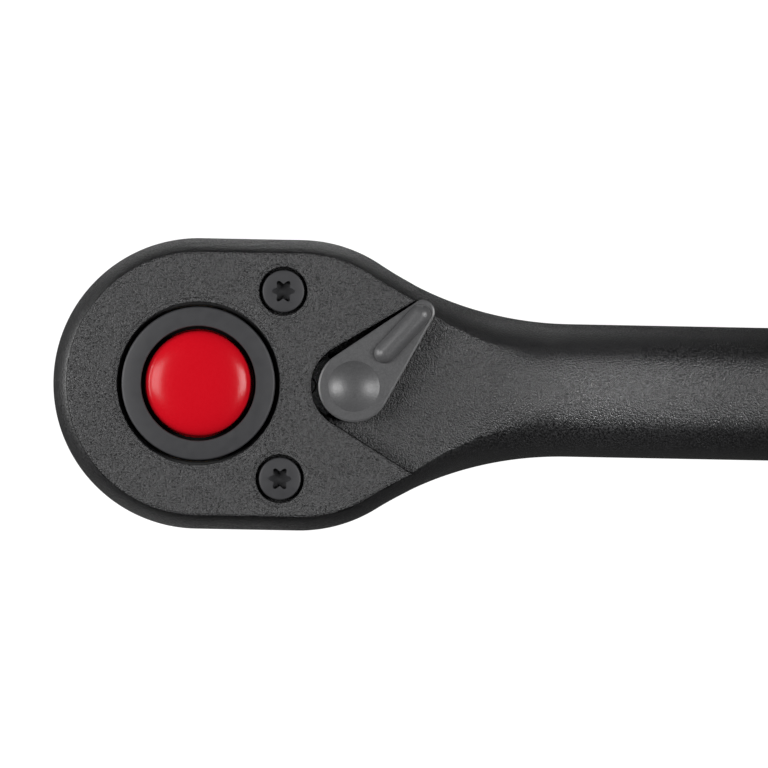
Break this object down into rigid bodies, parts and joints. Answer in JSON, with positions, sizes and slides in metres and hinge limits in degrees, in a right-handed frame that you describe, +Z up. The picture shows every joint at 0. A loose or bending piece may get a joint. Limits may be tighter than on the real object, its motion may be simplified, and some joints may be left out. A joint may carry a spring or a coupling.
{
  "type": "ratchet handle",
  "caption": "Reversible pear-head ratchet handle with a square drive, push-button socket release, top reversing lever and a moulded palm-swell grip.",
  "frame": {"origin": "centre of the square drive's end face, on the drive axis", "axes": "+Z up the drive axis from the square to the release button, +X along the handle, +Y to the side that the lever rests on"},
  "size_m": [0.27, 0.044, 0.0452],
  "materials": {
    "composite": "black glass-fibre composite with a fine spark-eroded grain",
    "cover": "black glass-fibre composite, fine grain, moulded flat",
    "lever": "satin mid-grey moulded plastic",
    "button": "satin-gloss red moulded plastic",
    "black_steel": "black oxide",
    "bright_steel": "hardened and ground",
    "spring_steel": "drawn wire",
    "bronze": "sintered bearing bronze",
    "brass": "turned",
    "rubber": "matte black"
  },
  "bodies": {
    "handle": {"body": "composite", "cover_plate": "cover", "cover_screw_upper": "black_steel", "cover_screw_lower": "black_steel", "screw_insert_upper": "brass", "screw_insert_lower": "brass", "mechanism_housing": "black_steel", "lower_bush": "bronze", "thrust_washer": "bronze", "dust_seal": "rubber", "pawl_pin": "bright_steel", "lever_seal": "rubber"},
    "drive": {"drive_gear": "black_steel", "button_snap_ring": "black_steel", "release_spring": "spring_steel"},
    "release": {"release_button": "button", "release_rod": "bright_steel"},
    "ball": {"socket_ball": "bright_steel"},
    "lever": {"reversing_lever": "lever", "lever_circlip": "spring_steel", "pawl_spring": "spring_steel"},
    "plunger": {"pawl_plunger": "bright_steel"},
    "pawl": {"pawl": "bright_steel"}
  },
  "joints": [
    {"name": "drive_spin", "type": "hinge", "parent": "handle", "child": "drive", "pos_m": [0, 0, 0.03], "axis": [0, 0, 1], "continuous": true},
    {"name": "button_press", "type": "slide", "parent": "drive", "child": "release", "axis": [0, 0, -1], "range_m": [0, 0.003], "stiffness_N_per_m": 1000, "springref_m": -0.003, "deforming": ["release_spring"]},
    {"name": "ball_retract", "type": "slide", "parent": "drive", "child": "ball", "axis": [-1, 0, 0], "range_m": [0, 0.00121]},
    {"name": "lever_swing", "type": "hinge", "parent": "handle", "child": "lever", "pos_m": [0.02345, 0, 0.04], "axis": [0, 0, 1], "range_deg": [-96.6, 0]},
    {"name": "plunger_compress", "type": "slide", "parent": "lever", "child": "plunger", "axis": [0.6652, 0.7466, 0], "range_m": [0, 0.0005], "stiffness_N_per_m": 500, "springref_m": -0.001, "deforming": ["pawl_spring"]},
    {"name": "pawl_rock", "type": "hinge", "parent": "handle", "child": "pawl", "pos_m": [0.0164, 0, 0.03], "axis": [0, 0, 1], "range_deg": [0, 9]}
  ],
  "couplings": [
    {"joint": "ball_retract", "follows": "button_press", "ratio": 0.4},
    {"joint": "pawl_rock", "follows": "lever_swing", "ratio": -0.09316}
  ]
}
